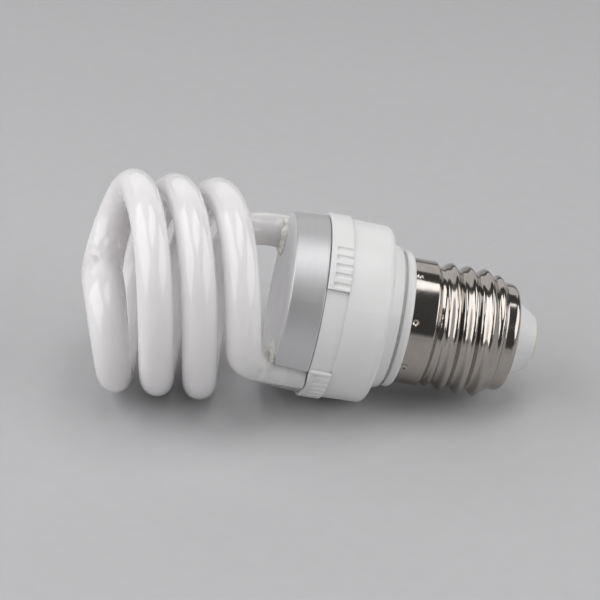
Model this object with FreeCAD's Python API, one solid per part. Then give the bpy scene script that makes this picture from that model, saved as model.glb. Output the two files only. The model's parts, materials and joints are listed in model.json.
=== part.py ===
"""Spiral energy saving lamp with a 27 mm screw cap, lying on a table as it comes to rest.

Every piece is built upright on the lamp's own axis: z runs from the centre contact to the tip of the
glass, and angles about z count from the viewer's side. The last step lays the whole lamp down.
"""
import FreeCAD
import Part
import math
import os
from FreeCAD import Vector

# Screw cap
cap_length = 27.85
cap_wall = 0.3
thread_diameter = 26.3
thread_pitch = 3.629
thread_depth = 1.15
thread_clock = 320.5
thread_runin = 1.6
thread_runout = 2.8
thread_stations_per_turn = 12
skirt_diameter = 25.9
skirt_length = 5.05
skirt_step = 0.9
skirt_edge_radius = 0.4
dome_diameter = 22.4
dome_height = 2.7
dome_edge_radius = 2.6
crimp_count = 8
crimp_clock = -1.5
crimp_radius = 0.95
crimp_depth = 0.4
crimp_from_flange = 0.8

# Insulator cone and centre contact
contact_diameter = 9.4
contact_thickness = 0.7
contact_proud = 0.35
contact_edge_radius = 0.2
shank_diameter = 2.0
shank_length = 7.0
insulator_tip_diameter = 10.9
insulator_base_diameter = 16.5
insulator_cone_height = 4.5
insulator_neck_diameter = 15.8
insulator_flange_diameter = 17.6
insulator_flange_height = 1.6
insulator_edge_radius = 0.6
insulator_gap = 0.25

# Housing
body_diameter = 37.0
shoulder_diameter = 36.6
body_length = 13.45
shoulder_radius = 2.2
housing_wall = 1.4
neck_length = 2.55
neck_diameter = 28.9
neck_root_diameter = 30.7
neck_fillet = 0.7
groove_diameter = 26.7
groove_width = 0.7
flange_diameter = 28.2
flange_width = 1.9
spigot_inset = 0.5
spigot_wall = 1.25
rim_edge_radius = 0.25
rim_inner_radius = 0.15
spigot_edge_radius = 0.25
groove_corner_radius = 0.1
neck_edge_radius = 0.25
neck_bore_radius = 0.4
cup_corner_radius = 1.0
board_rib_count = 6
board_rib_thickness = 1.0
board_rib_reach = 1.5
board_rib_clock = 15.0
snap_height = 0.25
snap_width = 0.9
snap_from_rim = 1.6

# Lugs, grip ribs and recesses round the rim
lug_count = 2
lug_start = 9.9
lug_sweep = 124.3
lug_width = 4.5
lug_height = 0.5
lug_edge_radius = 0.3
recess_depth = 0.4
grip_count = 5
grip_pitch = 6.0
grip_first = 3.0
grip_cutter_radius = 0.75
grip_depth = 0.36
grip_rim_band = 1.1

# Holder collar
collar_length = 7.0
collar_base_diameter = 36.7
collar_front_diameter = 35.7
collar_wall = 1.1
plate_thickness = 1.3
collar_edge_radius = 0.5
collar_seam = 0.1
collar_spigot_length = 2.6
collar_spigot_edge_radius = 0.2
plate_corner_radius = 0.5

# Glass
tube_diameter = 7.0
leg_radius = 16.0
leg_angle = -60.0
leg_end_gap = 0.2
coil_radius = 19.15
coil_pitch = 17.2
coil_sweep = 510.0
coil_above_plate = 7.4
coil_step = 30.0
leg_steps = 3
bend_start = 0.6
bend_sweep = 30.0
bend_rise = 4.2
bend_reach = 5.0
bend_steps = 4
bridge_rise = 4.2
bridge_turn = 76.0
bridge_reach = 8.4
bridge_middle_reach = 14.0
bridge_steps = 6
bridge_diameter = 8.6
bridge_sections = 4
glass_lean = 5.5
glass_lean_side = -61.7
adhesive_width = 1.7
adhesive_height = 1.1
adhesive_top_width = 0.5
adhesive_edge_radius = 0.3

# Circuit board and its parts, placed on the board by x and y from the lamp's axis
board_thickness = 1.2
pin_diameter = 0.6
pin_stub = 0.8
standoff = 0.8
lead_loop = 1.0
part_edge_radius = 0.3
electrolytic_diameter = 8.0
electrolytic_length = 11.0
electrolytic_bead = 0.35
electrolytic_place = (5.0, -2.4)
electrolytic_pin_spacing = 3.5
choke_place = (-5.2, 0.0)
choke_core_width = 10.2
choke_core_depth = 4.8
choke_core_height = 9.2
choke_limb = 1.9
choke_middle_limb = 2.8
choke_yoke = 1.9
choke_bobbin_wall = 0.5
choke_bobbin_depth = 9.2
choke_winding_inset = 0.4
ring_place = (4.2, 8.2)
ring_outer_diameter = 8.0
ring_inner_diameter = 4.4
ring_height = 3.5
ring_edge_radius = 0.4
ring_wire_diameter = 0.5
ring_wire_bend = 0.3
ring_winding_count = 3
ring_turns = 3
ring_turn_step = 24.0
film_place = (10.6, 3.6)
film_width = 3.0
film_depth = 6.0
film_height = 6.5
film_edge_radius = 0.5
transistor_places = ((-3.2, 10.4), (-8.4, 7.6))
transistor_diameter = 4.6
transistor_height = 4.6
transistor_flat = 1.3
transistor_pin_spacing = 1.27
diode_places = ((-8.0, -9.2), (-5.0, -9.2), (-2.0, -9.2), (1.0, -9.2))
diode_diameter = 2.4
diode_length = 4.6
resistor_places = ((8.2, -8.6), (10.6, -5.4))
resistor_diameter = 2.0
resistor_length = 5.6
trigger_place = (-11.0, -4.6)
trigger_diameter = 1.8
trigger_length = 3.8
return_pitch = 2.5
fuse_diameter = 3.2
fuse_length = 9.0
fuse_lead = 3.0
supply_lead_diameter = 1.2
supply_lead_bend = 2.0
live_place = (0.8, 3.4)
neutral_place = (2.4, -7.0)
post_diameter = 1.0
post_radius = 13.6
post_spread = 13.0
post_height = 2.4
filament_wire_diameter = 0.5
filament_spacing = 3.4
filament_clearance = 0.3
filament_drop = 1.2
filament_bend = 0.5

# Clearances
press_gap = 0.05
slide_gap = 0.1
hole_gap = 0.15
notch_gap = 0.3
cut_margin = 1.0

# How the lamp lies: the angle about its own axis that faces the table
resting_side = -120.0
rest_point_spacing = 0.5

# Stations along the axis
insulator_tip_z = contact_proud
cone_base_z = insulator_tip_z + insulator_cone_height
dome_end_z = cone_base_z + insulator_gap
thread_end_z = dome_end_z + dome_height
skirt_end_z = cap_length - skirt_length
thread_start_z = skirt_end_z - skirt_step
flange_end_z = cap_length + flange_width
neck_start_z = flange_end_z + groove_width
shoulder_z = neck_start_z + neck_length
rim_z = shoulder_z + body_length
lug_z = rim_z - lug_width
spigot_end_z = skirt_end_z + spigot_inset
collar_base_z = rim_z + collar_seam
plate_z = collar_base_z + collar_length
leg_end_z = collar_base_z + leg_end_gap
leg_top_z = plate_z + bend_start
board_top_z = collar_base_z - collar_spigot_length
board_bottom_z = board_top_z - board_thickness

# Radii that several pieces share
tube_r = tube_diameter / 2
skirt_r = skirt_diameter / 2
thread_root_r = thread_diameter / 2 - thread_depth
dome_r = dome_diameter / 2
shell_hole_r = insulator_neck_diameter / 2 + slide_gap
spigot_r = skirt_r - cap_wall - slide_gap
crimp_groove_r = skirt_r - crimp_depth - cap_wall - slide_gap
spigot_bore_r = crimp_groove_r - spigot_wall
body_r = body_diameter / 2
lug_r = body_r + lug_height
recess_r = body_r - recess_depth
bore_r = body_r - housing_wall
board_r = bore_r - 2 * slide_gap
collar_spigot_r = bore_r - slide_gap
collar_spigot_bore_r = collar_spigot_r - collar_wall
notch_r = tube_r + notch_gap
pin_r = pin_diameter / 2
AXIS = Vector(0, 0, 1)

# Largest share of a profile's side that one rounding may take, and the shortest line it keeps
side_share = 0.49
shortest_line = 1e-6


def polar(radius, angle, z):
    """Point at a radius and an angle in degrees about the lamp's axis."""
    turn = math.radians(angle)
    return Vector(radius * math.cos(turn), radius * math.sin(turn), z)


def smooth(share):
    """Ease from 0 to 1 with flat ends."""
    share = min(max(share, 0.0), 1.0)
    return share * share * (3 - 2 * share)


def rounded_wire(corners):
    """Closed profile in the xz plane through (radius, z, rounding) corners."""
    points = [Vector(r, 0, z) for r, z, _ in corners]
    edges = []
    starts = []
    ends = []
    for i, corner in enumerate(points):
        back = points[i - 1] - corner
        ahead = points[(i + 1) % len(points)] - corner
        reach = 0.0
        if corners[i][2] > 0:
            half = back.getAngle(ahead) / 2
            reach = min(corners[i][2] / math.tan(half), side_share * back.Length, side_share * ahead.Length)
        back.normalize()
        ahead.normalize()
        starts.append(corner + back * reach)
        ends.append(corner + ahead * reach)
        if reach > 0:
            half = back.getAngle(ahead) / 2
            centre = corner + (back + ahead).normalize() * (reach / math.cos(half))
            middle = centre + (corner - centre).normalize() * (reach * math.tan(half))
            edges.append(Part.Arc(starts[i], middle, ends[i]).toShape())
        if i > 0 and (starts[i] - ends[i - 1]).Length > shortest_line:
            edges.append(Part.LineSegment(ends[i - 1], starts[i]).toShape())
    edges.append(Part.LineSegment(ends[-1], starts[0]).toShape())
    return Part.Wire(Part.__sortEdges__(edges))


def turned(corners, start=0.0, sweep=360.0):
    """Solid of revolution about the lamp's axis, whole or over one arc of it."""
    solid = Part.Face(rounded_wire(corners)).revolve(Vector(), AXIS, sweep)
    solid.rotate(Vector(), AXIS, start)
    return solid


def ring(inner_r, outer_r, low, high):
    """Plain hollow cylinder on the lamp's axis."""
    return turned([(inner_r, low, 0), (outer_r, low, 0), (outer_r, high, 0), (inner_r, high, 0)])


def drum(place, radius, low, high):
    """Cylinder along z that stands at (x, y)."""
    return Part.makeCylinder(radius, high - low, Vector(place[0], place[1], low))


def block(place, width, depth, low, high):
    """Box along z, centred on (x, y)."""
    corner = Vector(place[0] - width / 2, place[1] - depth / 2, low)
    return Part.makeBox(width, depth, high - low, corner)


def bent_wire(points, radius, bend):
    """Round wire along straight runs, with a tangent arc of one radius at every inner point."""
    edges = []
    begin = points[0]
    for before, corner, after in zip(points, points[1:], points[2:]):
        back = (before - corner).normalize()
        ahead = (after - corner).normalize()
        half = back.getAngle(ahead) / 2
        reach = bend / math.tan(half)
        centre = corner + (back + ahead).normalize() * (bend / math.sin(half))
        middle = centre + (corner - centre).normalize() * bend
        edges.append(Part.LineSegment(begin, corner + back * reach).toShape())
        edges.append(Part.Arc(corner + back * reach, middle, corner + ahead * reach).toShape())
        begin = corner + ahead * reach
    edges.append(Part.LineSegment(begin, points[-1]).toShape())
    section = Part.Wire(Part.makeCircle(radius, points[0], points[1] - points[0]))
    return Part.Wire(edges).makePipeShell([section], True, False)


def group(solids):
    """Several separate solids in one node."""
    return Part.makeCompound(solids)


# Glass
def lean_turn():
    """Turn that tips the coil to the side that the glass leans to."""
    return FreeCAD.Rotation(polar(1, glass_lean_side + 90, 0), glass_lean)


def lean_over(point):
    """Tip a point of the coil about the middle of its first turn; the legs stay upright."""
    pivot = Vector(0, 0, plate_z + coil_above_plate)
    return pivot + lean_turn().multVec(point - pivot)


def coil_point(angle):
    """Centre of the tube on the first helix, at an angle past its leg, before the lean."""
    z = plate_z + coil_above_plate + coil_pitch * angle / 360
    return polar(coil_radius, leg_angle + angle, z)


def coil_direction(angle):
    """Direction of the first helix at an angle past its leg, before the lean."""
    return polar(coil_radius, leg_angle + angle + 90, coil_pitch / (2 * math.pi)).normalize()


def bridge_point(share):
    """Point on half of the S-shaped bridge, from the end of the helix in to the axis."""
    start = coil_point(coil_sweep)
    middle = Vector(0, 0, start.z + bridge_rise)
    across = polar(bridge_middle_reach, leg_angle + coil_sweep + 180 + bridge_turn, 0)
    curve = Part.BezierCurve()
    curve.setPoles([start, start + coil_direction(coil_sweep) * bridge_reach, middle - across, middle])
    return curve.value(share)


def half_path(turn):
    """Centre line of one leg and its helix, from the leg's end to the middle of the bridge."""
    about_axis = FreeCAD.Rotation(AXIS, turn)
    coil_steps = round((coil_sweep - bend_sweep) / coil_step)
    angles = [bend_sweep + (coil_sweep - bend_sweep) * i / coil_steps for i in range(coil_steps + 1)]
    coil = [coil_point(angle) for angle in angles]
    coil += [bridge_point(i / bridge_steps) for i in range(1, bridge_steps + 1)]
    coil = [lean_over(about_axis.multVec(p)) for p in coil]
    ahead = lean_turn().multVec(about_axis.multVec(coil_direction(bend_sweep)))
    top = polar(leg_radius, leg_angle + turn, leg_top_z)
    bend = Part.BezierCurve()
    bend.setPoles([top, top + AXIS * bend_rise, coil[0] - ahead * bend_reach, coil[0]])
    leg = [top - AXIS * (leg_top_z - leg_end_z) * (1 - i / leg_steps) for i in range(leg_steps)]
    return leg + [bend.value(i / bend_steps) for i in range(bend_steps)] + coil


def swept_tube(curve, start, end, radii):
    """Tube along part of a curve, through circles of these radii at even steps."""
    circles = []
    for i, radius in enumerate(radii):
        at = start + (end - start) * i / max(len(radii) - 1, 1)
        circles.append(Part.Wire(Part.makeCircle(radius, curve.value(at), curve.tangent(at)[0])))
    return Part.Wire([Part.Edge(curve, start, end)]).makePipeShell(circles, True, False)


def make_spiral_tube():
    """The glass on one smooth centre line: two legs with their helices, joined by a wider bridge."""
    first = half_path(0)
    second = half_path(180)
    curve = Part.BSplineCurve()
    curve.interpolate(Points=first + second[-2::-1])
    seams = (first[-1 - bridge_steps], first[-1], second[-1 - bridge_steps])
    join, middle, far_join = [curve.parameter(point) for point in seams]
    swell = (bridge_diameter - tube_diameter) / 2
    radii = [tube_r + swell * smooth(i / bridge_sections) for i in range(bridge_sections + 1)]
    stem = swept_tube(curve, curve.FirstParameter, join, [tube_r])
    bridge_half = swept_tube(curve, join, middle, radii)
    far_bridge_half = swept_tube(curve, middle, far_join, radii[::-1])
    far_stem = swept_tube(curve, far_join, curve.LastParameter, [tube_r])
    return stem.fuse([bridge_half, far_bridge_half, far_stem])


def make_leg_adhesive(tube):
    """A bead round each leg where it leaves the plate, cut off at the plate's edge."""
    foot_r = tube_r + adhesive_width
    top_r = tube_r + adhesive_top_width
    top_z = plate_z + adhesive_height
    bead = turned([(0, plate_z, 0), (foot_r, plate_z, 0), (top_r, top_z, adhesive_edge_radius),
                   (0, top_z, 0)])
    edge_r = collar_front_diameter / 2 - collar_edge_radius
    plate_zone = Part.makeCylinder(edge_r, adhesive_height, Vector(0, 0, plate_z))
    beads = []
    for angle in (leg_angle, leg_angle + 180):
        placed = bead.translated(polar(leg_radius, angle, 0))
        beads += placed.common(plate_zone).cut(tube).Solids
    return group(beads)


# Holder collar
def leg_notch(angle):
    """U-shaped cutter round a leg, open to the outside, from just under the rim to past the plate."""
    low = collar_base_z - notch_gap
    far = leg_radius + body_r
    left = Vector(leg_radius, notch_r, low)
    right = Vector(leg_radius, -notch_r, low)
    far_left = Vector(far, notch_r, low)
    far_right = Vector(far, -notch_r, low)
    edges = [Part.Arc(left, Vector(leg_radius - notch_r, 0, low), right), Part.LineSegment(right, far_right),
             Part.LineSegment(far_right, far_left), Part.LineSegment(far_left, left)]
    face = Part.Face(Part.Wire([edge.toShape() for edge in edges]))
    cutter = face.extrude(AXIS * (plate_z + cut_margin - low))
    cutter.rotate(Vector(), AXIS, angle)
    return cutter


def make_holder_collar():
    base_r = collar_base_diameter / 2
    front_r = collar_front_diameter / 2
    snap_z = rim_z - snap_from_rim
    snap_r = collar_spigot_r + snap_height
    inside_r = collar_spigot_bore_r
    collar = turned([
        (collar_spigot_r, board_top_z, collar_spigot_edge_radius),
        (collar_spigot_r, snap_z - snap_width / 2, 0),
        (snap_r, snap_z - snap_width / 4, 0),
        (snap_r, snap_z + snap_width / 4, 0),
        (collar_spigot_r, snap_z + snap_width / 2, 0),
        (collar_spigot_r, collar_base_z, 0),
        (base_r, collar_base_z, rim_edge_radius),
        (front_r, plate_z, collar_edge_radius),
        (0, plate_z, 0),
        (0, plate_z - plate_thickness, 0),
        (front_r - collar_wall, plate_z - plate_thickness, plate_corner_radius),
        (inside_r, collar_base_z, 0),
        (inside_r, board_top_z, collar_spigot_edge_radius),
    ])
    for angle in (leg_angle, leg_angle + 180):
        collar = collar.cut(leg_notch(angle))
    return collar


# Housing
def housing_body():
    """The turned form of the housing: spigot, flange bead, groove, neck, shoulder and cup."""
    flange_r = flange_diameter / 2
    shoulder_r = shoulder_diameter / 2
    crimp_low_z = cap_length - crimp_from_flange - crimp_radius - slide_gap
    inner_shoulder_z = shoulder_z + housing_wall
    neck_bore_z = neck_start_z + housing_wall
    snap_z = rim_z - snap_from_rim
    snap_r = bore_r + snap_height
    return turned([
        (spigot_bore_r, spigot_end_z, spigot_edge_radius),
        (spigot_r, spigot_end_z, spigot_edge_radius),
        (spigot_r, crimp_low_z, 0),
        (crimp_groove_r, crimp_low_z, 0),
        (crimp_groove_r, cap_length, 0),
        (flange_r, cap_length, flange_width / 2),
        (flange_r, flange_end_z, flange_width / 2),
        (groove_diameter / 2, flange_end_z, groove_corner_radius),
        (groove_diameter / 2, neck_start_z, groove_corner_radius),
        (neck_diameter / 2, neck_start_z, neck_edge_radius),
        (neck_root_diameter / 2, shoulder_z, neck_fillet),
        (shoulder_r, shoulder_z, shoulder_radius),
        (body_r, lug_z, 0),
        (body_r, rim_z, rim_edge_radius),
        (bore_r, rim_z, rim_inner_radius),
        (bore_r, snap_z + snap_width / 2, 0),
        (snap_r, snap_z + snap_width / 4, 0),
        (snap_r, snap_z - snap_width / 4, 0),
        (bore_r, snap_z - snap_width / 2, 0),
        (bore_r, inner_shoulder_z, cup_corner_radius),
        (neck_root_diameter / 2 - housing_wall, inner_shoulder_z, neck_bore_radius),
        (neck_diameter / 2 - housing_wall, neck_bore_z, neck_bore_radius),
        (spigot_bore_r, neck_start_z, neck_bore_radius),
    ])


def rim_lug(start):
    """Raised lug on the rim, with grip grooves at both of its ends."""
    inside_r = body_r - housing_wall / 2
    lug = turned([(inside_r, lug_z, 0), (lug_r, lug_z, lug_edge_radius),
                  (lug_r, rim_z, rim_edge_radius), (inside_r, rim_z, 0)], start, lug_sweep)
    cutters = []
    for i in range(grip_count):
        inward = grip_first + i * grip_pitch
        for angle in (start + inward, start + lug_sweep - inward):
            at = polar(lug_r + grip_cutter_radius - grip_depth, angle, lug_z - cut_margin)
            cutters.append(Part.makeCylinder(grip_cutter_radius, lug_width + cut_margin - grip_rim_band, at))
    return lug.cut(cutters)


def rim_recess(start):
    """Cutter for the shallow recess between two lugs."""
    sweep = 360 / lug_count - lug_sweep
    far_r = lug_r + cut_margin
    top = rim_z + cut_margin
    return turned([(recess_r, lug_z, 0), (far_r, lug_z, 0), (far_r, top, 0), (recess_r, top, 0)],
                  start - sweep, sweep)


def board_rib(angle):
    """Upright web inside the cup that carries the edge of the circuit board."""
    low = shoulder_z + housing_wall / 2
    web = Part.makeBox(board_rib_reach + housing_wall / 2, board_rib_thickness, board_bottom_z - low,
                       Vector(bore_r - board_rib_reach, -board_rib_thickness / 2, low))
    web.rotate(Vector(), AXIS, angle)
    return web


def make_base_housing():
    housing = housing_body()
    starts = [lug_start + i * 360 / lug_count for i in range(lug_count)]
    housing = housing.cut([rim_recess(start) for start in starts])
    ribs = [board_rib(board_rib_clock + i * 360 / board_rib_count) for i in range(board_rib_count)]
    housing = housing.fuse([rim_lug(start) for start in starts] + ribs)
    return housing.removeSplitter()


# Screw cap
def thread_core(inset):
    """Threaded length of the cap.

    A round thread is a stack of plain circles whose centres follow a thin helix, so the skin is
    lofted through such circles. The helix fades out at both ends of the thread.
    """
    length = thread_start_z - thread_end_z
    count = round(length / thread_pitch * thread_stations_per_turn)
    circles = []
    for i in range(count + 1):
        z = thread_end_z + length * i / count
        swing = thread_depth / 2
        swing *= smooth((thread_start_z - z) / thread_runin) * smooth((z - thread_end_z) / thread_runout)
        root = dome_r + (thread_root_r - dome_r) * smooth((z - thread_end_z) / (thread_runout / 2))
        centre = polar(swing, thread_clock + 360 * z / thread_pitch, z)
        circles.append(Part.Wire(Part.makeCircle(root + swing - inset, centre, AXIS)))
    return Part.makeLoft(circles, True, False)


def cap_form(inset):
    """Outer form of the cap, or its inside when inset by the wall."""
    skirt = turned([(0, thread_start_z, 0), (thread_root_r - inset, thread_start_z, 0),
                    (skirt_r - inset, skirt_end_z, skirt_edge_radius), (skirt_r - inset, cap_length, 0),
                    (0, cap_length, 0)])
    end_z = dome_end_z + inset
    dome = turned([(0, end_z, 0), (dome_r - inset, end_z, dome_edge_radius - inset),
                   (dome_r - inset, thread_end_z, 0), (0, thread_end_z, 0)])
    return thread_core(inset).fuse([skirt, dome])


def make_cap_shell():
    shell = cap_form(0).cut(cap_form(cap_wall))
    hole = drum((0, 0), shell_hole_r, 0, thread_end_z)
    shell = shell.cut(hole)
    bumps = []
    dents = []
    skirt_core = drum((0, 0), skirt_r - cap_wall / 2, skirt_end_z, cap_length)
    for i in range(crimp_count):
        angle = crimp_clock + 360 * i / crimp_count
        centre = polar(skirt_r + crimp_radius - crimp_depth, angle, cap_length - crimp_from_flange)
        bumps.append(Part.makeSphere(crimp_radius + cap_wall, centre).common(skirt_core))
        dents.append(Part.makeSphere(crimp_radius, centre))
    return shell.fuse(bumps).cut(dents)


def make_cap_insulator():
    seat_z = contact_thickness + press_gap
    flange_z = dome_end_z + cap_wall + slide_gap
    seat_r = contact_diameter / 2 + slide_gap
    shank_r = shank_diameter / 2 + slide_gap
    return turned([
        (shank_r, seat_z, 0),
        (seat_r, seat_z, 0),
        (seat_r, insulator_tip_z, 0),
        (insulator_tip_diameter / 2, insulator_tip_z, insulator_edge_radius / 2),
        (insulator_base_diameter / 2, cone_base_z, insulator_edge_radius / 4),
        (insulator_neck_diameter / 2, cone_base_z, 0),
        (insulator_neck_diameter / 2, flange_z, 0),
        (insulator_flange_diameter / 2, flange_z, insulator_edge_radius / 2),
        (insulator_flange_diameter / 2, flange_z + insulator_flange_height, insulator_edge_radius / 2),
        (shank_r, flange_z + insulator_flange_height, 0),
    ])


def make_centre_contact():
    """Flat disc with a shank that goes through the insulator to the fuse resistor."""
    shank_r = shank_diameter / 2
    return turned([
        (0, 0, 0),
        (contact_diameter / 2, 0, contact_edge_radius),
        (contact_diameter / 2, contact_thickness, 0),
        (shank_r, contact_thickness, 0),
        (shank_r, contact_thickness + shank_length, 0),
        (0, contact_thickness + shank_length, 0),
    ])


# Circuit board and its parts
board_holes = []


def pin(place, low):
    """Straight pin from a part up through the board; the board is drilled for it."""
    board_holes.append((place, pin_r))
    return drum(place, pin_r, low, board_top_z + pin_stub)


def upright_part(place, diameter, length, away):
    """Axial part stood on end: one straight pin, and one lead looped back up to the board."""
    x, y = place
    top = board_bottom_z - standoff
    low = top - length
    loop = low - lead_loop - pin_r
    back = (x + away[0], y + away[1])
    r = diameter / 2
    body = turned([(0, low, 0), (r, low, part_edge_radius), (r, top, part_edge_radius), (0, top, 0)])
    body.translate(Vector(x, y, 0))
    lead = bent_wire([Vector(x, y, low), Vector(x, y, loop), Vector(*back, loop),
                      Vector(*back, board_top_z + pin_stub)], pin_r, lead_loop)
    board_holes.append((back, pin_r))
    return body.fuse([pin(place, top), lead])


def make_electrolytic_capacitor():
    """Can with a rolled bead near its foot, on two pins."""
    x, y = electrolytic_place
    r = electrolytic_diameter / 2
    top = board_bottom_z - standoff / 2
    low = top - electrolytic_length
    bead = 2 * electrolytic_bead
    can = turned([(0, low, 0), (r, low, part_edge_radius), (r, top - 3 * bead, 0),
                  (r - electrolytic_bead, top - 2 * bead, part_edge_radius), (r, top - bead, 0),
                  (r, top, part_edge_radius), (0, top, 0)])
    can.translate(Vector(x, y, 0))
    half = electrolytic_pin_spacing / 2
    return can.fuse([pin((x, y - half), top), pin((x, y + half), top)])


def choke_window():
    """Height range of the choke's winding window."""
    core_top = board_bottom_z - slide_gap
    core_low = core_top - choke_core_height
    return core_low + choke_yoke, core_top - choke_yoke


def make_choke_core():
    """Two E halves closed round the bobbin, with a window on each side of the middle limb."""
    low, high = choke_window()
    core = block(choke_place, choke_core_width, choke_core_depth, low - choke_yoke, high + choke_yoke)
    window = (choke_core_width - choke_middle_limb) / 2 - choke_limb
    offset = (choke_middle_limb + window) / 2
    x, y = choke_place
    cutters = [block((x + side * offset, y), window, choke_core_depth + cut_margin, low, high)
               for side in (-1, 1)]
    return core.cut(cutters)


def make_choke_bobbin():
    """Sleeve on the middle limb with two cheeks; pins under the cheeks go to the board."""
    low, high = choke_window()
    low += slide_gap
    high -= slide_gap
    wall = choke_bobbin_wall
    bore_width = choke_middle_limb + 2 * slide_gap
    bore_depth = choke_core_depth + 2 * slide_gap
    cheek_width = choke_core_width - 2 * choke_limb - 2 * slide_gap
    cheeks = [block(choke_place, cheek_width, choke_bobbin_depth, z, z + wall) for z in (low, high - wall)]
    sleeve = block(choke_place, bore_width + 2 * wall, bore_depth + 2 * wall, low, high)
    bobbin = sleeve.fuse(cheeks).cut(block(choke_place, bore_width, bore_depth, low - cut_margin,
                                              high + cut_margin))
    x, y = choke_place
    reach = (choke_bobbin_depth + choke_core_depth) / 4 + slide_gap
    pins = [pin((x + dx, y + dy), high - wall / 2) for dx in (-cheek_width / 3, cheek_width / 3)
            for dy in (-reach, reach)]
    return bobbin.fuse(pins).removeSplitter()


def make_choke_winding():
    low, high = choke_window()
    low += 2 * slide_gap + choke_bobbin_wall
    high -= 2 * slide_gap + choke_bobbin_wall
    cheek_width = choke_core_width - 2 * choke_limb - 2 * slide_gap
    wound = block(choke_place, cheek_width - 2 * choke_winding_inset,
                  choke_bobbin_depth - 2 * choke_winding_inset, low, high)
    wound = wound.makeFillet(choke_winding_inset * 2, [e for e in wound.Edges if e.tangentAt(0).z ** 2 > 0.5])
    sleeve_gap = 4 * slide_gap + 2 * choke_bobbin_wall
    return wound.cut(block(choke_place, choke_middle_limb + sleeve_gap, choke_core_depth + sleeve_gap,
                           low, high))


def ring_levels():
    top = board_bottom_z - standoff - ring_wire_diameter
    return top - ring_height, top


def make_ring_core():
    low, high = ring_levels()
    core = ring(ring_inner_diameter / 2, ring_outer_diameter / 2, low, high)
    core = core.makeFillet(ring_edge_radius, core.Edges)
    return core.translated(Vector(*ring_place, 0))


def make_ring_windings():
    """Square turns of wire round the ring's section; one turn of each winding has legs to the board."""
    low, high = ring_levels()
    wire_r = ring_wire_diameter / 2
    inner = ring_inner_diameter / 2 - wire_r - slide_gap
    outer = ring_outer_diameter / 2 + wire_r + slide_gap
    under = low - wire_r - slide_gap
    over = high + wire_r + slide_gap
    turns = []
    for winding in range(ring_winding_count):
        for turn in range(ring_turns):
            angle = 360 / ring_winding_count * winding + (turn - (ring_turns - 1) / 2) * ring_turn_step
            route = [Vector(outer, 0, over), Vector(outer, 0, under), Vector(inner, 0, under),
                     Vector(inner, 0, over), Vector(outer - 1.1 * ring_wire_diameter, 0, over)]
            if turn == ring_turns // 2:
                route[0] = Vector(outer, 0, board_top_z + pin_stub)
                foot = polar(outer, angle, 0) + Vector(*ring_place, 0)
                board_holes.append(((foot.x, foot.y), wire_r))
            wire = bent_wire(route, wire_r, ring_wire_bend)
            wire.rotate(Vector(), AXIS, angle)
            turns.append(wire.translated(Vector(*ring_place, 0)))
    return group(turns)


def make_film_capacitor():
    x, y = film_place
    top = board_bottom_z - slide_gap
    body = block(film_place, film_width, film_depth, top - film_height, top)
    body = body.makeFillet(film_edge_radius, body.Edges)
    span = film_depth / 3
    return body.fuse([pin((x, y - span), top - film_edge_radius), pin((x, y + span), top - film_edge_radius)])


def make_transistors():
    """Half-round plastic bodies on three pins each."""
    bodies = []
    top = board_bottom_z - 2 * standoff
    for x, y in transistor_places:
        r = transistor_diameter / 2
        body = drum((x, y), r, top - transistor_height, top)
        body = body.cut(block((x, y + r + transistor_flat), 4 * r, 2 * r, top - transistor_height, top))
        pins = [pin((x + i * transistor_pin_spacing, y), top) for i in (-1, 0, 1)]
        bodies.append(body.fuse(pins))
    return group(bodies)


def make_rectifier_diodes():
    return group([upright_part(p, diode_diameter, diode_length, (0, return_pitch)) for p in diode_places])


def make_resistors():
    return group([upright_part(p, resistor_diameter, resistor_length, (return_pitch, 0))
                  for p in resistor_places])


def make_trigger_diode():
    return upright_part(trigger_place, trigger_diameter, trigger_length, (0, -return_pitch))


def make_fuse_resistor():
    """Resistor on the axis inside the cap, from the contact's shank to the live lead."""
    low = contact_thickness + shank_length
    body_low = low + fuse_lead
    body_high = body_low + fuse_length
    r = fuse_diameter / 2
    body = turned([(0, body_low, 0), (r, body_low, part_edge_radius), (r, body_high, part_edge_radius),
                   (0, body_high, 0)])
    leads = [drum((0, 0), pin_r, low, body_low), drum((0, 0), pin_r, body_high, body_high + fuse_lead)]
    return body.fuse(leads)


def make_live_lead():
    """From the fuse resistor's upper lead to the board."""
    low = contact_thickness + shank_length + 2 * fuse_lead + fuse_length
    x, y = live_place
    r = supply_lead_diameter / 2
    choke_low = choke_window()[0] - choke_yoke
    lead = bent_wire([Vector(0, 0, low), Vector(0, 0, low + supply_lead_bend),
                      Vector(x, y, choke_low - supply_lead_bend), Vector(x, y, board_bottom_z - slide_gap)],
                     r, supply_lead_bend)
    return lead.fuse(pin(live_place, board_bottom_z - slide_gap))


def make_neutral_lead():
    """From the board down past the end of the spigot, then out to the wall of the cap."""
    x, y = neutral_place
    r = supply_lead_diameter / 2
    out = Vector(x, y, 0).normalize()
    low = spigot_end_z - 2 * supply_lead_diameter
    tip = out * (thread_root_r - cap_wall - slide_gap) + Vector(0, 0, low)
    lead = bent_wire([Vector(x, y, board_bottom_z - slide_gap), Vector(x, y, low), tip], r, supply_lead_bend)
    return lead.fuse(pin(neutral_place, board_bottom_z - slide_gap))


def post_place(leg, side):
    spot = polar(post_radius, leg + side * post_spread, 0)
    return spot.x, spot.y


def make_wire_posts():
    """Four posts through the board that the filament leads are wound on."""
    posts = []
    for leg in (leg_angle, leg_angle + 180):
        for side in (-1, 1):
            place = post_place(leg, side)
            board_holes.append((place, post_diameter / 2))
            posts.append(drum(place, post_diameter / 2, board_bottom_z - pin_stub, board_top_z + post_height))
    return group(posts)


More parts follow.
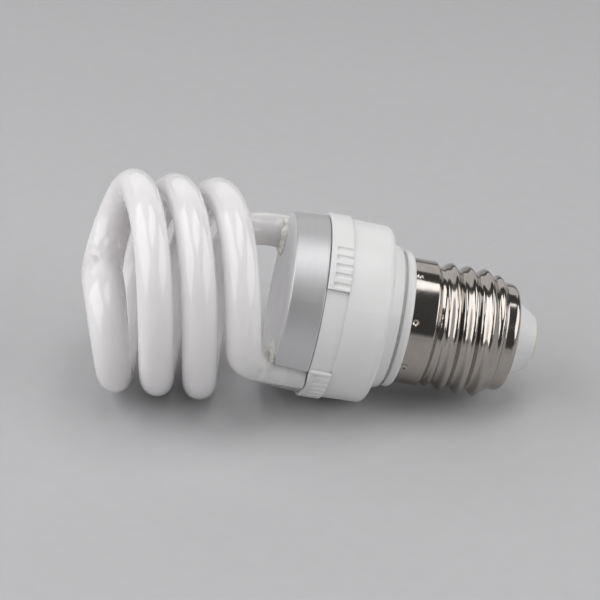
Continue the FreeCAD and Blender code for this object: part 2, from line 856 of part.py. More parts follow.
def make_filament_leads():
    """Wires from the end of each leg down and in to the posts."""
    wires = []
    wire_r = filament_wire_diameter / 2
    clear_r = collar_spigot_bore_r - wire_r - filament_clearance
    reach_r = math.sqrt(clear_r ** 2 - (filament_spacing / 2) ** 2)
    for leg in (leg_angle, leg_angle + 180):
        across = polar(filament_spacing / 2, leg + 90, 0)
        for side in (-1, 1):
            top = polar(reach_r, leg, leg_end_z) + across * side
            low = top - AXIS * (leg_end_z - board_top_z - filament_drop)
            post = Vector(*post_place(leg, side), low.z)
            reach = (post - low).normalize() * (post_diameter / 2)
            wires.append(bent_wire([top, low, post - reach], wire_r, filament_bend))
    return group(wires)


def make_circuit_board():
    """Round board, drilled for every pin that was placed before."""
    board = drum((0, 0), board_r, board_bottom_z, board_top_z)
    holes = [drum(place, r + hole_gap, board_bottom_z - cut_margin, board_top_z + cut_margin)
             for place, r in board_holes]
    return board.cut(holes)


# Assembly
def build_lamp():
    tube = make_spiral_tube()
    pieces = {
        "spiral_tube": tube,
        "leg_adhesive": make_leg_adhesive(tube),
        "holder_collar": make_holder_collar(),
        "base_housing": make_base_housing(),
        "cap_shell": make_cap_shell(),
        "cap_insulator": make_cap_insulator(),
        "centre_contact": make_centre_contact(),
        "electrolytic_capacitor": make_electrolytic_capacitor(),
        "choke_core": make_choke_core(),
        "choke_bobbin": make_choke_bobbin(),
        "choke_winding": make_choke_winding(),
        "ring_core": make_ring_core(),
        "ring_windings": make_ring_windings(),
        "film_capacitor": make_film_capacitor(),
        "transistors": make_transistors(),
        "rectifier_diodes": make_rectifier_diodes(),
        "resistors": make_resistors(),
        "trigger_diode": make_trigger_diode(),
        "fuse_resistor": make_fuse_resistor(),
        "live_lead": make_live_lead(),
        "neutral_lead": make_neutral_lead(),
        "wire_posts": make_wire_posts(),
        "filament_leads": make_filament_leads(),
    }
    pieces["circuit_board"] = make_circuit_board()
    return pieces


def lower_hull(points):
    """Lower outline of (x, z) points, from left to right."""
    hull = []
    for x, z in sorted(points):
        while len(hull) > 1:
            (x1, z1), (x2, z2) = hull[-2:]
            if (x2 - x1) * (z - z1) - (z2 - z1) * (x - x1) > 0:
                break
            hull.pop()
        hull.append((x, z))
    return hull


def resting_placement(outer_pieces):
    """Lay the axis down, tip the lamp onto the two places that carry it, and put it on z = 0."""
    turn = FreeCAD.Rotation(Vector(1, 0, 0), 90) * FreeCAD.Rotation(Vector(0, 1, 0), -90)
    turn = turn * FreeCAD.Rotation(AXIS, -90 - resting_side)
    points = [turn.multVec(p) for piece in outer_pieces for p in piece.tessellate(rest_point_spacing)[0]]
    hull = lower_hull([(p.x, p.z) for p in points])
    balance_x = -rim_z
    for (x1, z1), (x2, z2) in zip(hull, hull[1:]):
        if x1 <= balance_x < x2:
            tip = math.degrees(math.atan2(z2 - z1, x2 - x1))
    turn = FreeCAD.Rotation(Vector(0, 1, 0), tip) * turn
    print("tip of the axis when at rest:", tip)
    points = [FreeCAD.Rotation(Vector(0, 1, 0), tip).multVec(p) for p in points]
    xs = [p.x for p in points]
    ys = [p.y for p in points]
    middle = Vector((min(xs) + max(xs)) / 2, (min(ys) + max(ys)) / 2, min(p.z for p in points))
    return FreeCAD.Placement(-middle, turn)


def main():
    lamp = build_lamp()
    outer = [lamp[name] for name in ("spiral_tube", "holder_collar", "base_housing", "cap_shell",
                                     "cap_insulator", "centre_contact")]
    placement = resting_placement(outer)
    os.makedirs("parts", exist_ok=True)
    for name, shape in lamp.items():
        shape.transformed(placement.toMatrix(), True).exportStep("parts/" + name + ".step")
        print(name, len(shape.Solids), shape.isValid(), round(shape.Volume, 2))


main()
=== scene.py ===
"""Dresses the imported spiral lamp: coated glass, brushed collar, moulded housing, plated cap and ballast."""
import json
import math

import bmesh
import bpy
from bpy.props import FloatProperty, FloatVectorProperty, PointerProperty
from mathutils import Matrix, Vector, noise


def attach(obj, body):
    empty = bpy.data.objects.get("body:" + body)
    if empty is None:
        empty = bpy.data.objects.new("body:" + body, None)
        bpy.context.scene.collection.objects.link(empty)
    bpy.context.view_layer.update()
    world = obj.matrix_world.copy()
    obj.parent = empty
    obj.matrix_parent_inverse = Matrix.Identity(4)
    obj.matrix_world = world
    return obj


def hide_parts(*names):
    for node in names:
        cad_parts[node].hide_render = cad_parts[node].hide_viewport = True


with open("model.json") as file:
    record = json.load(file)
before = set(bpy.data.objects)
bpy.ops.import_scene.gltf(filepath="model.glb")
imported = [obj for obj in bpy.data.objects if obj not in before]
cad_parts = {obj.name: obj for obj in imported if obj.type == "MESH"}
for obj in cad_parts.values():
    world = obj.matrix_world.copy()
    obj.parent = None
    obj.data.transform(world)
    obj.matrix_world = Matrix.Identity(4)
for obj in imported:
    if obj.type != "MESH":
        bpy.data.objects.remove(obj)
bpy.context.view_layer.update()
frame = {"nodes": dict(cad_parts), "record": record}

bl_info = {
    "name": "Spiral lamp dresser",
    "version": (1, 0, 0),
    "blender": (4, 5, 0),
    "location": "View3D > Sidebar > Lamp",
    "description": "Gives the spiral lamp its finishes and sets the studio around it",
    "category": "Object",
}

NODES = frame["nodes"]
MOUNTS = {mount["name"]: mount for mount in frame["record"]["mounts"]}
MM = 0.001
IMAGE_SIDE = 600
SENSOR_WIDTH = 36.0
WHITE = (1.0, 1.0, 1.0, 1.0)

# The lamp's own axes: from the centre contact to the tip of the glass, and two across
CONTACT = Vector(MOUNTS["contact_face"]["pos_m"])
TO_TIP = -Vector(MOUNTS["contact_face"]["axis"]).normalized()
SIDE = TO_TIP.cross(Vector((0, 1, 0))).normalized()
UP = SIDE.cross(TO_TIP)

# Face of the collar's plate, along the axis from the contact, and the skin that is moulded and not silver
PLATE = max((vertex.co - CONTACT).dot(TO_TIP) for vertex in NODES["holder_collar"].data.vertices)
PLATE_SKIN_STARTS = PLATE - 0.08 * MM
PLATE_SKIN_FULL = PLATE - 0.02 * MM

# How far the painted shade reaches out of a moulding's corners
CORNER_SHADE_REACH = 0.9 * MM

# Skin of the silicone beads
BEAD_VOXEL = 0.16 * MM
BEAD_LUMPS_PER_METRE = 700
BEAD_LUMP_OCTAVES = 3

# Sockets of a Mix node that is set to colours
MIX_SHARE, MIX_FIRST, MIX_SECOND, MIX_COLOUR = 0, 6, 7, 2

# Softboxes: place, the point that each one faces, width and height
LAMP_MIDDLE = (0.0, 0.0, 0.024)
SOFTBOXES = {
    "left_softbox": ((-0.50, -0.12, 0.36), LAMP_MIDDLE, 0.80, 0.62),
    "right_softbox": ((0.55, -0.12, 0.36), LAMP_MIDDLE, 0.80, 0.46),
    "overhead_strip": ((0.05, -0.01, 0.55), (0.03, 0.0, 0.02), 0.50, 0.26),
    "back_softbox": ((0.0, 0.75, 0.42), LAMP_MIDDLE, 1.40, 0.50),
}


# Shader building
class Value:
    """An output socket that takes part in Python expressions."""

    def __init__(self, graph, socket):
        self.graph = graph
        self.socket = socket

    def maths(self, operation, *inputs):
        return self.graph.add("ShaderNodeMath", {"operation": operation}, dict(enumerate(inputs)))

    def __add__(self, other):
        return self.maths("ADD", self, other)

    def __radd__(self, other):
        return self.maths("ADD", other, self)

    def __sub__(self, other):
        return self.maths("SUBTRACT", self, other)

    def __rsub__(self, other):
        return self.maths("SUBTRACT", other, self)

    def __mul__(self, other):
        return self.maths("MULTIPLY", self, other)

    def __rmul__(self, other):
        return self.maths("MULTIPLY", other, self)

    def eased(self, start, end):
        """0 before start, 1 after end and a smooth rise between them."""
        settings = {"interpolation_type": "SMOOTHSTEP"}
        sockets = {"Value": self, "From Min": start, "From Max": end}
        return self.graph.add("ShaderNodeMapRange", settings, sockets)


class Graph:
    """A node tree under construction."""

    def __init__(self, tree):
        self.tree = tree
        self.tree.nodes.clear()

    def add(self, kind, settings=None, sockets=None, out=0):
        """Add a node: its settings first, then the values or links of its sockets."""
        node = self.tree.nodes.new(kind)
        for key, value in (settings or {}).items():
            setattr(node, key, value)
        for key, value in (sockets or {}).items():
            if isinstance(value, Value):
                self.tree.links.new(value.socket, node.inputs[key])
            else:
                node.inputs[key].default_value = value
        return Value(self, node.outputs[out]) if node.outputs else None

    def place(self, kind):
        return self.add("ShaderNodeTexCoord", out=kind)


class Look(Graph):
    """A material under construction, in the lamp's own coordinates."""

    def __init__(self, name):
        self.material = bpy.data.materials.new(name)
        self.material.use_nodes = True
        super().__init__(self.material.node_tree)
        self.here = self.place("Object")

    def vector(self, operation, first, second, out=0):
        return self.add("ShaderNodeVectorMath", {"operation": operation}, {0: first, 1: second}, out)

    def blend(self, share, first, second):
        """Mix two colours by a share from 0 to 1."""
        settings = {"data_type": "RGBA", "clamp_factor": True}
        sockets = {MIX_SHARE: share, MIX_FIRST: first, MIX_SECOND: second}
        return self.add("ShaderNodeMix", settings, sockets, out=MIX_COLOUR)

    def tones(self, share, colour, first, second):
        """One colour that goes from one tone of itself to another, each a factor of its brightness."""
        return self.blend(share, tint(colour, first), tint(colour, second))

    def grain(self, per_mm, detail=2.0, roughness=0.5):
        """Soft noise from 0 to 1 with this many grains to the millimetre."""
        sockets = {"Vector": self.here, "Scale": per_mm / MM, "Detail": detail, "Roughness": roughness}
        return self.add("ShaderNodeTexNoise", {"noise_dimensions": "3D"}, sockets)

    def from_contact(self):
        return self.vector("SUBTRACT", self.here, tuple(CONTACT))

    def along(self):
        """Distance from the centre contact along the lamp's axis, in metres."""
        return self.vector("DOT_PRODUCT", self.from_contact(), tuple(TO_TIP), out="Value")

    def around(self):
        """Angle about the lamp's axis, in radians."""
        away = self.from_contact()
        side = self.vector("DOT_PRODUCT", away, tuple(SIDE), out="Value")
        up = self.vector("DOT_PRODUCT", away, tuple(UP), out="Value")
        return up.maths("ARCTAN2", up, side)

    def turned_lines(self, lines_per_mm, runs_per_turn):
        """Fine lines that run round the lamp's axis, as brushing or drawing leaves them."""
        turn = self.around() * (runs_per_turn / (2 * math.pi))
        spread = self.along() * (lines_per_mm / MM)
        at = self.add("ShaderNodeCombineXYZ", {}, {"X": spread, "Y": turn, "Z": 0.0})
        sockets = {"Vector": at, "Scale": 1.0, "Detail": 3.0, "Roughness": 0.6}
        return self.add("ShaderNodeTexNoise", {"noise_dimensions": "3D"}, sockets)

    def bump(self, height, depth_mm, strength=1.0):
        """Normal that stands for a height from 0 to 1 over this depth."""
        sockets = {"Height": height, "Strength": strength, "Distance": depth_mm * MM}
        return self.add("ShaderNodeBump", {}, sockets)

    def ray(self, kind):
        """1 where a ray is of this kind, 0 elsewhere."""
        return self.add("ShaderNodeLightPath", out=kind)

    def close(self, shader):
        self.add("ShaderNodeOutputMaterial", {}, {"Surface": shader})
        return self.material

    def finish(self, sockets):
        """Close the material with one Principled shader."""
        return self.close(self.add("ShaderNodeBsdfPrincipled", {}, sockets))


def tint(colour, factor=1.0):
    """The colour made darker or lighter, with an alpha of 1."""
    return tuple(min(channel * factor, 1.0) for channel in colour[:3]) + (1.0,)


def dress(node, material):
    """Put one material on a CAD node."""
    slots = NODES[node].data.materials
    slots.clear()
    slots.append(material)


# Finishes
def coated_glass(settings):
    """Clear glass over white powder; the coating thins out towards the leg ends."""
    look = Look("coated_glass")
    bare = 1.0 - look.along().eased(PLATE + settings.bare_start, PLATE + settings.bare_end)
    streaks = look.grain(0.35, detail=3.0).eased(0.35, 0.7)
    cloud = look.grain(0.06).eased(0.3, 0.7)
    coat = look.tones(cloud, settings.coat_colour, 0.985, 1.01)
    legs = look.tones(streaks, settings.bare_colour, 0.9, 1.08)
    haze = look.grain(0.2, detail=4.0).eased(0.35, 0.75)
    wave = look.grain(0.09, detail=1.0)
    return look.finish({
        "Base Color": look.blend(bare * settings.bare_share, coat, legs),
        "Roughness": settings.roughness + haze * 0.03,
        "IOR": 1.5,
        "Coat Weight": 0.3,
        "Coat Roughness": 0.03,
        "Subsurface Weight": settings.glow_share,
        "Subsurface Radius": (1.0, 1.0, 0.95),
        "Subsurface Scale": settings.glow_reach,
        "Normal": look.bump(wave, depth_mm=0.1, strength=0.25),
    })


def cured_silicone(settings):
    """Cream rubber, a little see-through, with a lumpy and speckled skin."""
    look = Look("cured_silicone")
    lumps = look.grain(0.9, detail=3.0).eased(0.3, 0.7)
    specks = look.grain(5.0)
    return look.finish({
        "Base Color": look.tones(lumps, settings.silicone_colour, 0.9, 1.1),
        "Roughness": 0.34 + specks * 0.2,
        "Subsurface Weight": 0.3,
        "Subsurface Radius": (1.0, 0.85, 0.6),
        "Subsurface Scale": 0.002,
        "Normal": look.bump(specks, depth_mm=0.04),
    })


def brushed_silver(settings):
    """Satin silver with fine lines round the collar; the moulded front plate stays pale grey."""
    look = Look("brushed_silver")
    lines = look.turned_lines(lines_per_mm=8.0, runs_per_turn=9.0)
    smudge = look.grain(0.12, detail=3.0).eased(0.35, 0.7)
    plate = look.along().eased(PLATE_SKIN_STARTS, PLATE_SKIN_FULL)
    silver = look.tones(lines.eased(0.3, 0.7), settings.collar_colour, 0.97, 1.03)
    grey = look.tones(smudge, settings.plate_colour, 0.97, 1.03)
    rough = settings.collar_roughness + (lines - 0.5) * 0.1 + smudge * 0.04
    return look.finish({
        "Base Color": look.blend(plate, silver, grey),
        "Metallic": settings.collar_metal * (1.0 - plate),
        "Roughness": rough + plate * 0.1,
        "Normal": look.bump(lines * (1.0 - plate), depth_mm=settings.brush_depth / MM),
    })


def bright_nickel(settings):
    """Plating with faint lines from pressing and a slight warm tarnish."""
    look = Look("bright_nickel")
    lines = look.turned_lines(lines_per_mm=5.0, runs_per_turn=5.0)
    tarnish = look.grain(0.18, detail=4.0).eased(0.4, 0.75)
    clean = look.tones(lines.eased(0.3, 0.7), settings.nickel_colour, 0.95, 1.05)
    return look.finish({
        "Base Color": look.blend(tarnish * 0.35, clean, tint(settings.tarnish_colour)),
        "Metallic": 1.0,
        "Roughness": settings.nickel_roughness + (lines - 0.5) * 0.05 + tarnish * 0.05,
        "Normal": look.bump(lines, depth_mm=0.006, strength=0.5),
    })


def moulded_plastic(name, colour, roughness, grain_per_mm=3.5, grain_depth=0.012, variation=0.03):
    """Injection moulding: fine spark grain, soft flow marks, uneven gloss and painted shade in the corners.
    """
    look = Look(name)
    spark = look.grain(grain_per_mm)
    flow = look.grain(0.08, detail=3.0).eased(0.3, 0.7)
    clean = look.tones(flow, colour, 1.0 - variation, 1.0 + variation / 2)
    # Ambient occlusion darkens the colour towards 0.6 of itself in corners and recesses: painted shade
    unshaded_share = look.add("ShaderNodeAmbientOcclusion", {"samples": 8}, {"Distance": CORNER_SHADE_REACH}, out="AO")
    return look.finish({
        "Base Color": look.blend(unshaded_share.eased(0.15, 0.75), tint(colour, 0.6), clean),
        "Roughness": roughness + (spark - 0.5) * 0.08 + flow * 0.04,
        "IOR": 1.5,
        "Normal": look.bump(spark, depth_mm=grain_depth, strength=0.6),
    })


def sintered(name, colour):
    """Ferrite: dark, dry and grainy."""
    look = Look(name)
    pits = look.grain(6.0, detail=4.0)
    return look.finish({
        "Base Color": look.tones(pits.eased(0.3, 0.75), colour, 0.7, 1.5),
        "Roughness": 0.62 + pits * 0.2,
        "Normal": look.bump(pits, depth_mm=0.05),
    })


def wound_wire(name, colour):
    """Enamelled wire: metal lines side by side under a thin varnish, with painted shade between them and a
    painted highlight along them.
    """
    look = Look(name)
    lines = look.turned_lines(lines_per_mm=6.0, runs_per_turn=2.0)
    return look.finish({
        # The copper runs from 0.55 to 1.15 of its colour across the lines: painted shade in the gaps and a
        # painted highlight on the turns
        "Base Color": look.tones(lines.eased(0.35, 0.65), colour, 0.55, 1.15),
        "Metallic": 0.85,
        "Roughness": 0.24 + lines * 0.2,
        "Coat Weight": 0.4,
        "Normal": look.bump(lines, depth_mm=0.05),
    })


def drawn_metal(name, colour, roughness):
    """Drawn or pressed metal with faint scratches and dull spots."""
    look = Look(name)
    scratches = look.turned_lines(lines_per_mm=9.0, runs_per_turn=4.0)
    dull = look.grain(0.7, detail=4.0).eased(0.3, 0.8)
    return look.finish({
        "Base Color": look.tones(dull, colour, 1.04, 0.9),
        "Metallic": 1.0,
        "Roughness": roughness + scratches * 0.12 + dull * 0.12,
        "Normal": look.bump(scratches, depth_mm=0.008),
    })


def paper_laminate(name, colour):
    """Pressed board with fibres and a lacquered sheen."""
    look = Look(name)
    fibres = look.grain(2.5, detail=5.0, roughness=0.7)
    blotch = look.grain(0.3).eased(0.35, 0.7)
    woven = look.tones(fibres.eased(0.3, 0.7), colour, 0.8, 1.15)
    return look.finish({
        "Base Color": look.blend(blotch * 0.4, woven, tint(colour, 0.72)),
        "Roughness": 0.42 + fibres * 0.2,
        "Normal": look.bump(fibres, depth_mm=0.02),
    })


def floor_finish(settings):
    """Plain pale table with a barely visible grain; past the lights' reach it runs into the pale wall."""
    look = Look("pale_floor")
    grain = look.grain(0.25, detail=3.0)
    shade = look.tones(grain.eased(0.3, 0.7), settings.floor_colour, 0.99, 1.01)
    matte = {"Base Color": shade, "Roughness": 0.75 + grain * 0.1, "Specular IOR Level": 0.2}
    table = look.add("ShaderNodeBsdfPrincipled", {}, matte)
    wall = look.add("ShaderNodeEmission", {}, {"Color": WHITE, "Strength": settings.wall_brightness})
    away = look.vector("DISTANCE", look.here, (0.0, 0.0, 0.0), out="Value")
    seen = look.ray("Is Camera Ray") + look.ray("Is Glossy Ray") + look.ray("Is Transmission Ray")
    share = away.eased(settings.table_near, settings.table_far) * seen
    return look.close(look.add("ShaderNodeMixShader", {}, {0: share, 1: table, 2: wall}))


# Settings that a user would change
class LampGlassSettings(bpy.types.PropertyGroup):
    """The glass spiral and the silicone round its legs"""
    coat_colour: FloatVectorProperty(
        name="Coating", description="White of the powder behind the glass", subtype="COLOR", size=3,
        default=(0.83, 0.81, 0.818), min=0.0, max=1.0)
    bare_colour: FloatVectorProperty(
        name="Leg glass", description="Grey of the thinly coated leg ends", subtype="COLOR", size=3,
        default=(0.72, 0.715, 0.7), min=0.0, max=1.0)
    bare_share: FloatProperty(
        name="Leg share", description="How far the leg ends lose their coating", subtype="FACTOR",
        default=0.75, min=0.0, max=1.0)
    bare_start: FloatProperty(
        name="Thin up to", description="Distance past the collar's plate that stays thinly coated",
        unit="LENGTH", default=0.001, min=0.0, max=0.02)
    bare_end: FloatProperty(
        name="Full from", description="Distance past the collar's plate where the coating is full",
        unit="LENGTH", default=0.008, min=0.0, max=0.04)
    roughness: FloatProperty(
        name="Roughness", description="Gloss of the glass", subtype="FACTOR",
        default=0.02, min=0.0, max=1.0)
    glow_share: FloatProperty(
        name="Glow", description="Share of the light that spreads inside the coated tube", subtype="FACTOR",
        default=0.8, min=0.0, max=1.0)
    glow_reach: FloatProperty(
        name="Glow reach", description="How far light spreads inside the coated tube", unit="LENGTH",
        default=0.006, min=0.0, max=0.02)
    silicone_colour: FloatVectorProperty(
        name="Silicone", description="Cream of the adhesive round the legs", subtype="COLOR", size=3,
        default=(0.88, 0.86, 0.79), min=0.0, max=1.0)
    bead_swell: FloatProperty(
        name="Bead swell", description="How far the adhesive's skin wanders", unit="LENGTH",
        default=0.00045, min=0.0, max=0.002)


class LampMetalSettings(bpy.types.PropertyGroup):
    """The silver collar, the plated cap and its contact"""
    collar_colour: FloatVectorProperty(
        name="Collar", description="Silver of the collar", subtype="COLOR", size=3,
        default=(0.66, 0.66, 0.67), min=0.0, max=1.0)
    collar_roughness: FloatProperty(
        name="Collar roughness", description="Satin of the collar", subtype="FACTOR",
        default=0.46, min=0.0, max=1.0)
    collar_metal: FloatProperty(
        name="Collar metal", description="Share of bare metal in the collar's silver finish",
        subtype="FACTOR", default=0.9, min=0.0, max=1.0)
    brush_depth: FloatProperty(
        name="Brush depth", description="Depth of the fine lines round the collar", unit="LENGTH",
        default=0.00003, min=0.0, max=0.001)
    plate_colour: FloatVectorProperty(
        name="Plate", description="Pale grey of the collar's front plate", subtype="COLOR", size=3,
        default=(0.83, 0.825, 0.835), min=0.0, max=1.0)
    nickel_colour: FloatVectorProperty(
        name="Nickel", description="Colour of the cap's plating", subtype="COLOR", size=3,
        default=(0.46, 0.43, 0.40), min=0.0, max=1.0)
    tarnish_colour: FloatVectorProperty(
        name="Tarnish", description="Warm cast of worn plating", subtype="COLOR", size=3,
        default=(0.36, 0.31, 0.265), min=0.0, max=1.0)
    nickel_roughness: FloatProperty(
        name="Cap roughness", description="Gloss of the cap", subtype="FACTOR",
        default=0.11, min=0.0, max=1.0)
    contact_colour: FloatVectorProperty(
        name="Contact", description="Brass of the centre contact", subtype="COLOR", size=3,
        default=(0.62, 0.5, 0.27), min=0.0, max=1.0)


class LampPlasticSettings(bpy.types.PropertyGroup):
    """The white mouldings"""
    housing_colour: FloatVectorProperty(
        name="Housing", description="White of the moulded housing", subtype="COLOR", size=3,
        default=(0.82, 0.82, 0.815), min=0.0, max=1.0)
    housing_roughness: FloatProperty(
        name="Housing roughness", description="Satin of the housing", subtype="FACTOR",
        default=0.32, min=0.0, max=1.0)
    insulator_colour: FloatVectorProperty(
        name="Insulator", description="White of the cone at the end of the cap", subtype="COLOR", size=3,
        default=(0.76, 0.76, 0.77), min=0.0, max=1.0)
    insulator_roughness: FloatProperty(
        name="Insulator roughness", description="Satin of the cone", subtype="FACTOR",
        default=0.38, min=0.0, max=1.0)


class LampStageSettings(bpy.types.PropertyGroup):
    """The camera, the table, the room and the lights; a brightness of 1 looks white"""
    azimuth: FloatProperty(
        name="Azimuth", description="Camera's turn about the lamp", subtype="ANGLE",
        default=math.radians(-3.82))
    elevation: FloatProperty(
        name="Elevation", description="Camera's height over the table", subtype="ANGLE",
        default=math.radians(30.0))
    roll: FloatProperty(
        name="Roll", description="Camera's turn about its own view", subtype="ANGLE",
        default=math.radians(4.54))
    distance: FloatProperty(
        name="Distance", description="From the camera to the lamp", unit="LENGTH", default=0.4069)
    focal_pixels: FloatProperty(
        name="Focal length", description="In pixels of the image", subtype="PIXEL", default=2004.0)
    aim_right: FloatProperty(
        name="Aim right", description="Shift of the aim to the right", unit="LENGTH", default=-0.00228)
    aim_up: FloatProperty(
        name="Aim up", description="Shift of the aim upwards", unit="LENGTH", default=-0.00262)
    aim_height: FloatProperty(
        name="Aim height", description="Height of the aim over the table", unit="LENGTH", default=0.024)
    floor_colour: FloatVectorProperty(
        name="Floor", description="Pale colour of the table", subtype="COLOR", size=3,
        default=(0.52, 0.52, 0.53), min=0.0, max=1.0)
    floor_size: FloatProperty(
        name="Floor size", description="Side of the table", unit="LENGTH", default=12.0)
    table_near: FloatProperty(
        name="Table fades from", description="Distance where the table starts to run into the wall",
        unit="LENGTH", default=0.3, min=0.0)
    table_far: FloatProperty(
        name="Table fades by", description="Distance where only the wall's tone is left",
        unit="LENGTH", default=0.8, min=0.01)
    wall_brightness: FloatProperty(
        name="Wall", description="Brightness of the wall where it meets the table", default=0.5, min=0.0)
    wall_height: FloatProperty(
        name="Wall height", description="Sine of the angle at which the wall has faded",
        subtype="FACTOR", default=0.14, min=0.01, max=1.0)
    ambient: FloatProperty(
        name="Ambient", description="Brightness of the room overhead", default=0.07, min=0.0)
    left_softbox: FloatProperty(
        name="Left softbox", description="Brightness of the box on the glass's side", default=2.15, min=0.0)
    right_softbox: FloatProperty(
        name="Right softbox", description="Brightness of the box on the cap's side", default=2.0, min=0.0)
    overhead_strip: FloatProperty(
        name="Overhead strip", description="Brightness of the strip above the lamp", default=2.2, min=0.0)
    back_softbox: FloatProperty(
        name="Back softbox", description="Brightness of the wide box behind the lamp", default=0.7, min=0.0)


# Pieces
class LAMP_OT_dress_glass(bpy.types.Operator):
    """Coat the glass spiral"""
    bl_idname = "lamp.dress_glass"
    bl_label = "Glass spiral"

    def execute(self, context):
        dress("spiral_tube", coated_glass(context.scene.lamp_glass))
        return {"FINISHED"}


def evenly_skinned(piece):
    """Mesh of a piece with small, even faces in place of the CAD's long ones."""
    remesh = piece.modifiers.new("Even skin", "REMESH")
    remesh.mode = "VOXEL"
    remesh.voxel_size = BEAD_VOXEL
    remesh.use_smooth_shade = True
    mesh = bpy.data.meshes.new_from_object(piece.evaluated_get(bpy.context.evaluated_depsgraph_get()))
    piece.modifiers.clear()
    return mesh


def make_lumpy(mesh, swell):
    """Let the skin wander in and out, as adhesive does when it sets, and smooth it once."""
    shape = bmesh.new()
    shape.from_mesh(mesh)
    shape.normal_update()
    for vertex in shape.verts:
        wander = noise.fractal(vertex.co * BEAD_LUMPS_PER_METRE, 1.0, 2.0, BEAD_LUMP_OCTAVES)
        vertex.co += vertex.normal * (wander * swell)
    bmesh.ops.smooth_vert(
        shape, verts=shape.verts, factor=0.5, use_axis_x=True, use_axis_y=True, use_axis_z=True)
    shape.to_mesh(mesh)
    shape.free()
    mesh.shade_smooth()


class LAMP_OT_form_adhesive(bpy.types.Operator):
    """Form the uneven beads of silicone round the glass legs"""
    bl_idname = "lamp.form_adhesive"
    bl_label = "Silicone beads"

    def execute(self, context):
        settings = context.scene.lamp_glass
        beads = bpy.data.objects.new("silicone_beads", NODES["leg_adhesive"].data.copy())
        context.scene.collection.objects.link(beads)
        beads.data = evenly_skinned(beads)
        make_lumpy(beads.data, settings.bead_swell)
        beads.data.materials.clear()
        beads.data.materials.append(cured_silicone(settings))
        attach(beads, "root")
        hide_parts("leg_adhesive")
        return {"FINISHED"}


class LAMP_OT_dress_collar(bpy.types.Operator):
    """Brush the silver collar"""
    bl_idname = "lamp.dress_collar"
    bl_label = "Collar"

    def execute(self, context):
        dress("holder_collar", brushed_silver(context.scene.lamp_metal))
        return {"FINISHED"}


class LAMP_OT_dress_housing(bpy.types.Operator):
    """Give the housing and the insulator their moulded white"""
    bl_idname = "lamp.dress_housing"
    bl_label = "Housing and insulator"

    def execute(self, context):
        settings = context.scene.lamp_plastic
        housing = moulded_plastic("moulded_white", settings.housing_colour, settings.housing_roughness)
        insulator = moulded_plastic(
            "insulator_white", settings.insulator_colour, settings.insulator_roughness,
            grain_per_mm=2.5, grain_depth=0.02)
        dress("base_housing", housing)
        dress("cap_insulator", insulator)
        return {"FINISHED"}


class LAMP_OT_dress_cap(bpy.types.Operator):
    """Plate the screw cap and its centre contact"""
    bl_idname = "lamp.dress_cap"
    bl_label = "Screw cap"

    def execute(self, context):
        settings = context.scene.lamp_metal
        dress("cap_shell", bright_nickel(settings))
        dress("centre_contact", drawn_metal("contact_brass", settings.contact_colour, roughness=0.25))
        return {"FINISHED"}


# Plastics of the ballast: material, colour, roughness, grains to the millimetre, grain depth, variation
BALLAST_PLASTICS = {
    ("transistors", "rectifier_diodes"): ("black_resin", (0.02, 0.02, 0.022), 0.5, 5.0, 0.03, 0.2),
    ("choke_bobbin",): ("bobbin_plastic", (0.62, 0.58, 0.5), 0.45, 3.5, 0.012, 0.03),
    ("electrolytic_capacitor",): ("capacitor_sleeve", (0.015, 0.02, 0.06), 0.25, 1.5, 0.01, 0.15),
    ("film_capacitor",): ("capacitor_red", (0.27, 0.03, 0.015), 0.22, 1.2, 0.04, 0.15),
    ("resistors",): ("resistor_beige", (0.58, 0.42, 0.2), 0.4, 2.0, 0.03, 0.12),
    ("trigger_diode",): ("diode_blue", (0.03, 0.09, 0.3), 0.3, 2.0, 0.02, 0.12),
    ("fuse_resistor",): ("resistor_green", (0.06, 0.15, 0.09), 0.6, 3.0, 0.05, 0.15),
    ("live_lead",): ("red_sleeve", (0.36, 0.012, 0.01), 0.42, 2.0, 0.02, 0.1),
    ("neutral_lead",): ("black_sleeve", (0.02, 0.02, 0.022), 0.42, 2.0, 0.02, 0.2),
}


class LAMP_OT_dress_ballast(bpy.types.Operator):
    """Finish the circuit board and every part on it"""
    bl_idname = "lamp.dress_ballast"
    bl_label = "Ballast inside"

    def execute(self, context):
        finishes = {
            ("circuit_board",): paper_laminate("board_laminate", (0.42, 0.27, 0.1)),
            ("choke_core", "ring_core"): sintered("ferrite", (0.045, 0.045, 0.05)),
            ("choke_winding", "ring_windings"): wound_wire("enamelled_copper", (0.62, 0.25, 0.1)),
            ("wire_posts", "filament_leads"): drawn_metal("tinned_steel", (0.6, 0.6, 0.6), roughness=0.3),
        }
        for nodes, plastic in BALLAST_PLASTICS.items():
            finishes[nodes] = moulded_plastic(*plastic)
        for nodes, material in finishes.items():
            for node in nodes:
                dress(node, material)
        return {"FINISHED"}


# Stage
def add_floor(settings):
    """One flat sheet under the lamp."""
    half = settings.floor_size / 2
    mesh = bpy.data.meshes.new("floor")
    corners = [(-half, -half, 0), (half, -half, 0), (half, half, 0), (-half, half, 0)]
    mesh.from_pydata(corners, [], [(0, 1, 2, 3)])
    mesh.materials.append(floor_finish(settings))
    floor = bpy.data.objects.new("floor", mesh)
    bpy.context.scene.collection.objects.link(floor)


def add_softbox(name, place, target, width, height, brightness):
    """Area lamp that faces a point; its power follows from its size and how bright it looks."""
    lamp = bpy.data.lights.new(name, "AREA")
    lamp.shape = "RECTANGLE"
    lamp.size = width
    lamp.size_y = height
    lamp.energy = brightness * math.pi * width * height
    box = bpy.data.objects.new(name, lamp)
    box.location = place
    box.rotation_euler = (Vector(target) - Vector(place)).to_track_quat("-Z", "Y").to_euler()
    bpy.context.scene.collection.objects.link(box)


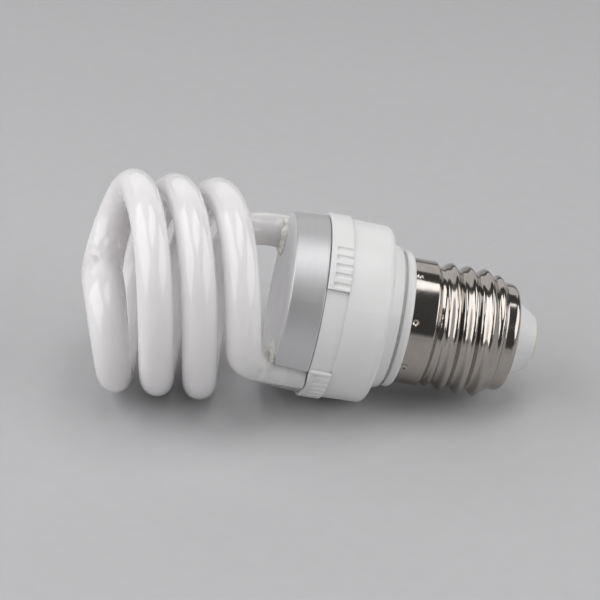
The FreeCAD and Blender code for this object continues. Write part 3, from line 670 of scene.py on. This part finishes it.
def add_room(settings):
    """Dim room with a pale wall low down."""
    world = bpy.data.worlds.new("room")
    world.use_nodes = True
    room = Graph(world.node_tree)
    height = room.add("ShaderNodeSeparateXYZ", {}, {0: room.place("Generated")}, out="Z")
    wall = room.add("ShaderNodeBackground", {}, {"Color": WHITE, "Strength": settings.wall_brightness})
    ceiling = room.add("ShaderNodeBackground", {}, {"Color": WHITE, "Strength": settings.ambient})
    above = height.eased(0.0, settings.wall_height)
    light = room.add("ShaderNodeMixShader", {}, {0: above, 1: wall, 2: ceiling})
    room.add("ShaderNodeOutputWorld", {}, {"Surface": light})
    bpy.context.scene.world = world


def add_camera(settings):
    """Camera at the photograph's angle, rolled about its own view as the photograph is."""
    azimuth, elevation, roll = settings.azimuth, settings.elevation, settings.roll
    outward = Vector((math.sin(azimuth), -math.cos(azimuth), 0))
    back = outward * math.cos(elevation) + Vector((0, 0, math.sin(elevation)))
    level = Vector((math.cos(azimuth), math.sin(azimuth), 0))
    upright = back.cross(level)
    aim = Vector((0, 0, settings.aim_height)) + level * settings.aim_right + upright * settings.aim_up
    right = level * math.cos(roll) + upright * math.sin(roll)
    up = back.cross(right)
    lens = bpy.data.cameras.new("camera")
    lens.sensor_width = SENSOR_WIDTH
    lens.lens = settings.focal_pixels / IMAGE_SIDE * SENSOR_WIDTH
    lens.clip_start = 0.01
    camera = bpy.data.objects.new("camera", lens)
    turn = Matrix((right, up, back)).transposed().to_4x4()
    camera.matrix_world = Matrix.Translation(aim + back * settings.distance) @ turn
    bpy.context.scene.collection.objects.link(camera)
    bpy.context.scene.camera = camera


class LAMP_OT_set_stage(bpy.types.Operator):
    """Lay the floor, place the soft lights and aim the camera"""
    bl_idname = "lamp.set_stage"
    bl_label = "Studio"

    def execute(self, context):
        settings = context.scene.lamp_stage
        add_floor(settings)
        for name, (place, target, width, height) in SOFTBOXES.items():
            add_softbox(name, place, target, width, height, getattr(settings, name))
        add_room(settings)
        add_camera(settings)
        context.scene.view_settings.view_transform = "Standard"
        return {"FINISHED"}


OPERATORS = (
    LAMP_OT_dress_glass,
    LAMP_OT_form_adhesive,
    LAMP_OT_dress_collar,
    LAMP_OT_dress_housing,
    LAMP_OT_dress_cap,
    LAMP_OT_dress_ballast,
    LAMP_OT_set_stage,
)
SETTINGS = {
    "lamp_glass": LampGlassSettings,
    "lamp_metal": LampMetalSettings,
    "lamp_plastic": LampPlasticSettings,
    "lamp_stage": LampStageSettings,
}


class LAMP_PT_pieces(bpy.types.Panel):
    """Pieces of the lamp and the studio around it"""
    bl_idname = "LAMP_PT_pieces"
    bl_label = "Spiral lamp"
    bl_space_type = "VIEW_3D"
    bl_region_type = "UI"
    bl_category = "Lamp"

    def draw(self, context):
        for operator in OPERATORS:
            self.layout.operator(operator.bl_idname)
        for name, group in SETTINGS.items():
            box = self.layout.box()
            for key in group.__annotations__:
                box.prop(getattr(context.scene, name), key)


def register():
    for settings in SETTINGS.values():
        bpy.utils.register_class(settings)
    for operator in OPERATORS:
        bpy.utils.register_class(operator)
    bpy.utils.register_class(LAMP_PT_pieces)
    for name, settings in SETTINGS.items():
        setattr(bpy.types.Scene, name, PointerProperty(type=settings))


def unregister():
    for name in SETTINGS:
        delattr(bpy.types.Scene, name)
    bpy.utils.unregister_class(LAMP_PT_pieces)
    for operator in reversed(OPERATORS):
        bpy.utils.unregister_class(operator)
    for settings in reversed(list(SETTINGS.values())):
        bpy.utils.unregister_class(settings)


def main():
    register()
    bpy.ops.lamp.dress_glass()
    bpy.ops.lamp.form_adhesive()
    bpy.ops.lamp.dress_collar()
    bpy.ops.lamp.dress_housing()
    bpy.ops.lamp.dress_cap()
    bpy.ops.lamp.dress_ballast()
    bpy.ops.lamp.set_stage()


if __name__ == "__main__":
    main()
